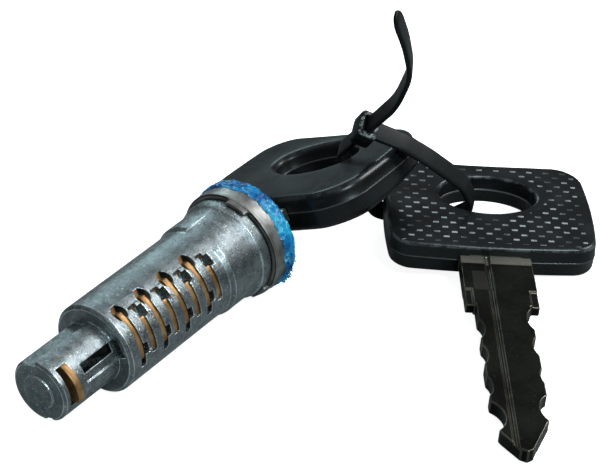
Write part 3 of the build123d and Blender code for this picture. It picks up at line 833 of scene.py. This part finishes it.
# Half of the section, from the parting line in the hole over one face to the parting line outside:
# share 0 is on the hole's wall and 1 on the outer edge, then the distance from there and the height
def bowHalfSection(form, ledge):
    half, edge, holeEdge, dish = form["half"], form["edge"], form["holeEdge"], form["dish"]
    turn = [(math.cos(a), math.sin(a)) for a in np.linspace(0, math.pi / 2, form["turnPoints"])]
    inner = [(0, -ledge - form["parting"], form["lineLow"]), (0, -ledge, form["lineHigh"])]
    inner += [(0, holeEdge * (1 - c) - ledge * c, half - holeEdge * (1 - s)) for c, s in turn]
    inner = [(share, reach, level - dish * min(1.0, level / half) ** 4) for share, reach, level in inner]
    face = [
        (share, (1 - share) * holeEdge + share * edge, half - dish * (1 - share) ** 2)
        for share in form["faceShares"]
    ]
    outer = [(1, edge * (1 - s) + form["draft"] * s, half - edge * (1 - c)) for c, s in turn]
    outer += [(1, 0, form["lineHigh"]), (1, -form["parting"], form["lineLow"])]
    return inner + face + outer


# The whole section is carried round: each ray from the hole's middle has its foot on the hole's ellipse
# and its end on the outline, and the section's points lie on the ray by their shares and distances
def bowMesh(key):
    form = bowSets[key]
    outline = bowOutline(form)
    middle = np.array([0, form["holeMiddle"]])
    ray = outline - middle
    turned = np.arctan2(ray[:, 1] / form["holeAlong"], ray[:, 0] / form["holeAcross"])
    hole = middle + np.stack([form["holeAcross"] * np.cos(turned), form["holeAlong"] * np.sin(turned)], 1)
    way = ray / np.linalg.norm(ray, axis=1)[:, None]
    upper = np.array(bowHalfSection(form, 0.0))
    lower = np.array(bowHalfSection(form, form["ledge"]))[::-1] * (1, 1, -1)
    section = np.concatenate([upper, lower])
    share, inset, level = section.T
    start = hole[:, None] * (1 - share)[None, :, None] + outline[:, None] * share[None, :, None]
    # the distance is measured outwards from the hole and inwards from the outer edge
    sign = np.where(share < 1, 1 - 2 * share, -1.0)
    flat = start + way[:, None] * (inset * sign)[None, :, None]
    spot = keyPlaces[key]
    base = np.array([spot["across"], spot["top"].cross(spot["across"]), spot["top"]])
    # the lower half is deeper beside the blade than at the far edge
    flush = np.clip((flat[..., 1] - form["deepTo"]) / (form["flushFrom"] - form["deepTo"]), 0, 1)
    deeper = form["deeper"] * (1 - flush * flush * (3 - 2 * flush))
    levels = (level + np.minimum(level, 0) / form["half"] * deeper)[..., None]
    points = np.concatenate([flat, levels], -1).reshape(-1, 3) @ base * mm + np.array(spot["tip"])
    faces = gridFaces(len(outline), len(section), closeRows=True, closeColumns=True)
    return closedMesh(key + "BowShell", points, faces)


for key in keyPlaces:
    node = key + "_bow"
    addObject(key + "BowShell", bowMesh(key), bodyOf[node], [bowMaterials[key]], [node])
print("bows done")

# The shutter and its pin lie hidden, so they keep their solids' meshes
for node in ("shutter", "shutter_pin"):
    data = frame["nodes"][node].data
    data.materials.clear()
    data.materials.append(springMaterial)

# Floor: the table's own up leans a little in this frame; the camera sees the floor white, with a shadow
stage = {
    "up": (0.06018, 0.0, 0.99819), "height": -7.717, "middle": 50.0, "reach": 6000.0,
    "floor": (0.24, 0.25, 0.255), "glow": 0.9, "seen": (0.9, 0.9, 0.9),
}
tableUp = Vector(stage["up"])
side = Vector((0, 1, 0))
front = side.cross(tableUp)
floorCentre = (tableUp * stage["height"] + front * stage["middle"]) * mm
turns = ((-1, -1), (1, -1), (1, 1), (-1, 1))
corners = [floorCentre + (front * a + side * b) * stage["reach"] * mm for a, b in turns]
floorMesh = meshFrom("floor", [tuple(corner) for corner in corners], [(0, 1, 2, 3)])
if floorMesh.polygons[0].normal.dot(tableUp) < 0:
    floorMesh.flip_normals()
floor = bpy.data.objects.new("floor", floorMesh)
scene.collection.objects.link(floor)
floorMaterial, tree, shader, place = newMaterial("floorWhite")
setShader(tree, shader, {"Base Color": stage["floor"], "Roughness": 0.8})
glow = place.node("ShaderNodeEmission", inputs={"Strength": stage["glow"]})
pale = place.node("ShaderNodeBsdfDiffuse", inputs={"Color": stage["seen"]})
seen = place.node("ShaderNodeAddShader", inputs={0: glow, 1: pale})
toCamera = place.node("ShaderNodeLightPath")
surface = place.node("ShaderNodeMixShader", inputs={0: toCamera, 1: Value(tree, shader.outputs[0]), 2: seen})
put(tree, surface, tree.nodes["Material Output"].inputs[0])
floorMesh.materials.append(floorMaterial)

# A dim room that is lighter overhead, and white where the camera looks straight at it
room = {"low": (0.015, 0.016, 0.017), "high": (0.30, 0.315, 0.325), "seen": (1.0, 1.0, 1.0)}
world = bpy.data.worlds.new("studio")
scene.world = world
world.use_nodes = True
worldTree = world.node_tree
way = Value(worldTree, worldTree.nodes.new("ShaderNodeTexCoord").outputs["Generated"])
height = way.node("ShaderNodeSeparateXYZ", output=2, inputs={0: way}).step(0.0, 0.9)
shade = height.colours(room["low"], room["high"])
colour = way.node("ShaderNodeLightPath").colours(shade, room["seen"])
put(worldTree, colour, worldTree.nodes["Background"].inputs["Color"])

# Lights: all at one distance from one point of the lock, with sizes in metres and power in watts
lights = {
    "topLight": {
        "direction": (0.66, -0.38, 0.64), "size": (0.20, 0.24), "power": 2.1, "colour": (0.97, 1.0, 1.0)},
    "frontLight": {
        "direction": (-0.20, -0.66, 0.72), "size": (0.14, 0.12), "power": 2.2, "colour": (0.80, 0.97, 1.0)},
    "backLight": {
        "direction": (0.62, 0.68, 0.38), "size": (0.22, 0.06), "power": 0.5, "colour": (0.72, 0.96, 1.0)},
}
lightsAim = Vector((0.035, -0.01, 0.0))
lightsDistance = 0.6
for name, settings in lights.items():
    data = bpy.data.lights.new(name, "AREA")
    data.shape = "RECTANGLE"
    data.size, data.size_y = settings["size"]
    data.energy = settings["power"]
    data.color = settings["colour"]
    lamp = bpy.data.objects.new(name, data)
    scene.collection.objects.link(lamp)
    toward = Vector(settings["direction"]).normalized()
    lamp.location = lightsAim + toward * lightsDistance
    lamp.rotation_euler = (-toward).to_track_quat("-Z", "Y").to_euler()

# Camera: its own right, up and back in the frame's axes, its place and its lens
view = {
    "lens": 120.0, "sensor": 36.0, "place": (-177.04, -176.33, 184.00),
    "right": (0.58815, -0.80798, -0.03546), "up": (0.46371, 0.30098, 0.83330),
    "back": (-0.66261, -0.50655, 0.55168),
}
cameraData = bpy.data.cameras.new("camera")
cameraData.lens = view["lens"]
cameraData.sensor_width = view["sensor"]
cameraData.clip_start = 0.01
camera = bpy.data.objects.new("camera", cameraData)
scene.collection.objects.link(camera)
turn = camera.matrix_world
for row in range(3):
    for column, name in enumerate(("right", "up", "back")):
        turn[row][column] = view[name][row]
turn.translation = Vector(view["place"]) * mm
camera.matrix_world = turn
scene.camera = camera
scene.view_settings.view_transform = "Standard"
print("stage done")
